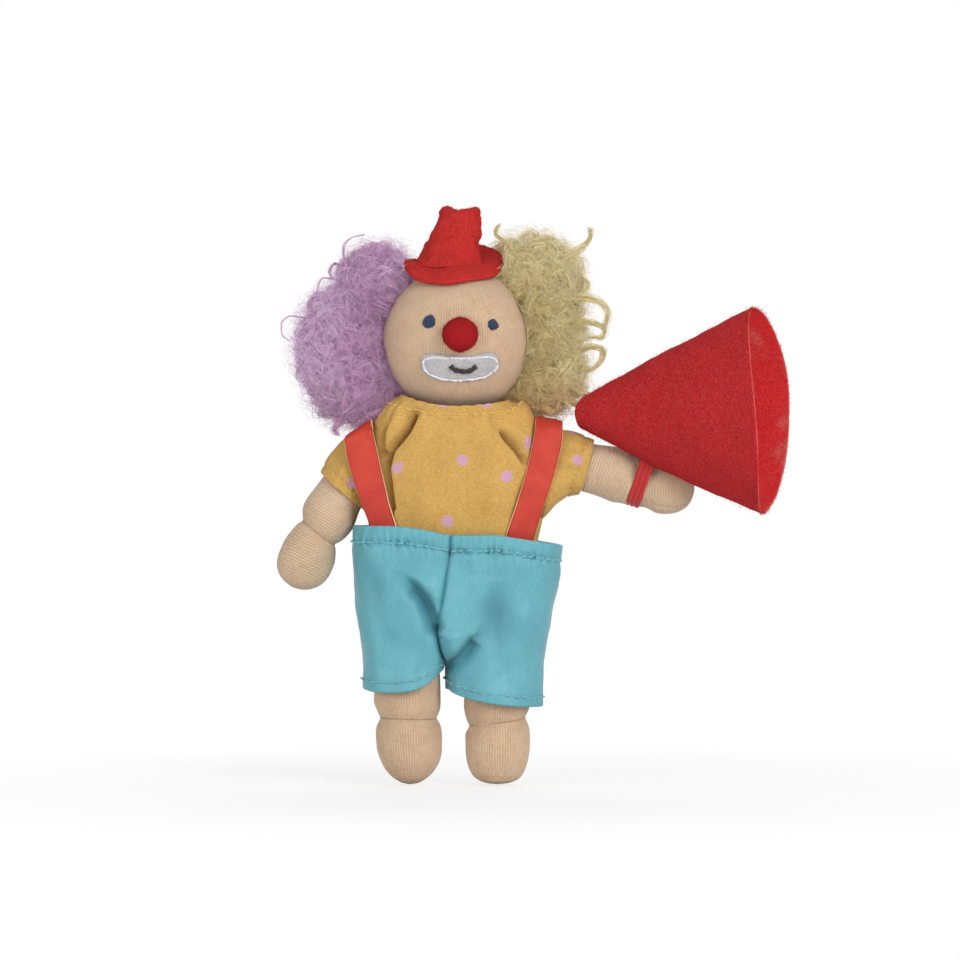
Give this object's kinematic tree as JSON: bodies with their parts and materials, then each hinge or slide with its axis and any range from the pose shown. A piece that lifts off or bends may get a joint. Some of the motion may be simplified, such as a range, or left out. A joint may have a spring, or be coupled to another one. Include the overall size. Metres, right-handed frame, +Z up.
{
  "type": "clown doll",
  "caption": "Soft stuffed clown doll with a felt hat, two tufts of curly hair, braces, and a felt megaphone held to one hand by an elastic band",
  "frame": {"origin": "middle of the bounding box in X and Y, on the plane that the feet stand on", "axes": "+Z up from the feet to the hat, -Y the way that the face looks, +X towards the doll's own left hand, which holds the megaphone"},
  "size_m": [0.1068, 0.0434, 0.1211],
  "materials": {
    "knit": "fine ribbed cotton knit",
    "thread": "matte sewing thread",
    "nose_felt": "felted ball",
    "eye_thread": "satin stitch",
    "mouth_cloth": "soft cloth patch with a sewn edge",
    "smile_thread": "thick stitched thread",
    "purple_wool": "curly fluffy wool",
    "green_wool": "curly fluffy wool",
    "hat_felt": "thick wool felt",
    "shirt_cotton": "plain cotton with small round dots",
    "shorts_satin": "satin twill",
    "brace_leatherette": "smooth leatherette with pale cut edges",
    "megaphone_felt": "stiff wool felt",
    "elastic": "ribbed elastic"
  },
  "bodies": {
    "body": {"torso": "knit", "shirt_body": "shirt_cotton", "sleeve_right": "shirt_cotton", "sleeve_left": "shirt_cotton", "brace_right": "brace_leatherette", "brace_left": "brace_leatherette", "shorts_right": "shorts_satin", "shorts_left": "shorts_satin"},
    "neck": {"neck": "knit"},
    "head": {"head": "knit", "hair_purple": "purple_wool", "hair_green": "green_wool", "hat_brim": "hat_felt", "hat_crown": "hat_felt", "nose": "nose_felt", "eye_right": "eye_thread", "eye_left": "eye_thread", "mouth_patch": "mouth_cloth", "smile": "smile_thread"},
    "arm_right": {"arm_right": "knit", "wrist_thread_right": "thread"},
    "hand_right": {"hand_right": "knit"},
    "arm_left": {"arm_left": "knit"},
    "hand_left": {"hand_left": "knit"},
    "megaphone": {"megaphone_cone": "megaphone_felt", "megaphone_band": "elastic"},
    "leg_right": {"leg_right": "knit", "ankle_thread_right": "thread"},
    "foot_right": {"foot_right": "knit"},
    "leg_left": {"leg_left": "knit", "ankle_thread_left": "thread"},
    "foot_left": {"foot_left": "knit"}
  },
  "joints": [
    {"name": "neck_turn", "type": "hinge", "parent": "body", "child": "neck", "pos_m": [-0.01649, 0.00361, 0.074], "axis": [0, 0, 1], "range_deg": [-30, 30]},
    {"name": "head_nod", "type": "hinge", "parent": "neck", "child": "head", "pos_m": [-0.01649, 0.00361, 0.084], "axis": [1, 0, 0], "range_deg": [-10, 10]},
    {"name": "shoulder_right_raise", "type": "hinge", "parent": "body", "child": "arm_right", "pos_m": [-0.03559, 0.00361, 0.0693], "axis": [0, 1, 0], "range_deg": [-1, 75], "deforming": ["sleeve_right"]},
    {"name": "wrist_right_bend", "type": "hinge", "parent": "arm_right", "child": "hand_right", "pos_m": [-0.04519, 0.00361, 0.05267], "axis": [0, 1, 0], "range_deg": [-18, 18]},
    {"name": "shoulder_left_raise", "type": "hinge", "parent": "body", "child": "arm_left", "pos_m": [0.00261, 0.00361, 0.0693], "axis": [0, -1, 0], "range_deg": [-35, 5], "deforming": ["sleeve_left"]},
    {"name": "wrist_left_bend", "type": "hinge", "parent": "arm_left", "child": "hand_left", "pos_m": [0.02082, 0.00361, 0.06324], "axis": [0, -1, 0], "range_deg": [-20, 0]},
    {"name": "megaphone_swivel", "type": "hinge", "parent": "arm_left", "child": "megaphone", "pos_m": [0.02082, 0.00361, 0.06324], "axis": [0.9489, 0, -0.3156], "range_deg": [-60, 60]},
    {"name": "hip_right_swing", "type": "hinge", "parent": "body", "child": "leg_right", "pos_m": [-0.02629, 0.00361, 0.031], "axis": [-1, 0, 0], "range_deg": [-20, 85], "deforming": ["shorts_right"]},
    {"name": "ankle_right_bend", "type": "hinge", "parent": "leg_right", "child": "foot_right", "pos_m": [-0.02629, 0.00361, 0.014], "axis": [-1, 0, 0], "range_deg": [-15, 15]},
    {"name": "hip_left_swing", "type": "hinge", "parent": "body", "child": "leg_left", "pos_m": [-0.00759, 0.00361, 0.031], "axis": [-1, 0, 0], "range_deg": [-20, 85], "deforming": ["shorts_left"]},
    {"name": "ankle_left_bend", "type": "hinge", "parent": "leg_left", "child": "foot_left", "pos_m": [-0.00759, 0.00361, 0.014], "axis": [-1, 0, 0], "range_deg": [-15, 15]}
  ]
}
